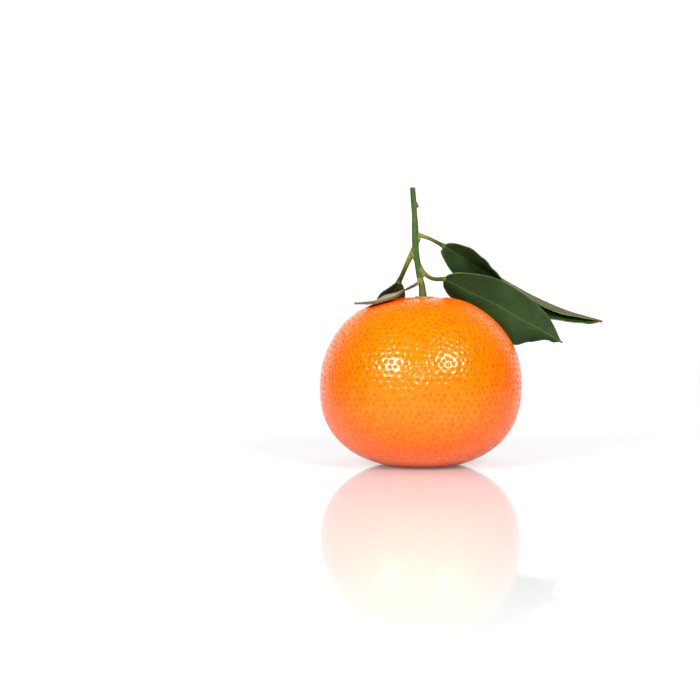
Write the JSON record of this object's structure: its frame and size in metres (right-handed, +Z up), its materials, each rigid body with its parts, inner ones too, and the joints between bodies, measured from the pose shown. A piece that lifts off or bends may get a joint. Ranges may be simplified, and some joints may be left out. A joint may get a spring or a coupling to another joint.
{
  "type": "mandarin",
  "caption": "Flattened round citrus fruit that rests on its base, with a dry stem button, an upright leafy twig and slender pointed leaves.",
  "frame": {"origin": "middle of the small flat spot at the blossom end, on which the fruit rests", "axes": "+Z up from the resting spot towards the stem end; -Y towards the viewer; +X to the viewer's right, where the two long leaves point"},
  "size_m": [0.0927, 0.0664, 0.088],
  "materials": {
    "peel": "waxy, finely pitted",
    "calyx": "dry, matt",
    "bark": "smooth green, satin",
    "leaf": "leathery, satin"
  },
  "bodies": {
    "root": {"fruit": "peel", "calyx": "calyx", "twig": "bark", "leaf_upper_right": "leaf", "leaf_lower_right": "leaf", "leaf_back_left": "leaf", "leaf_front_left": "leaf"}
  },
  "joints": []
}
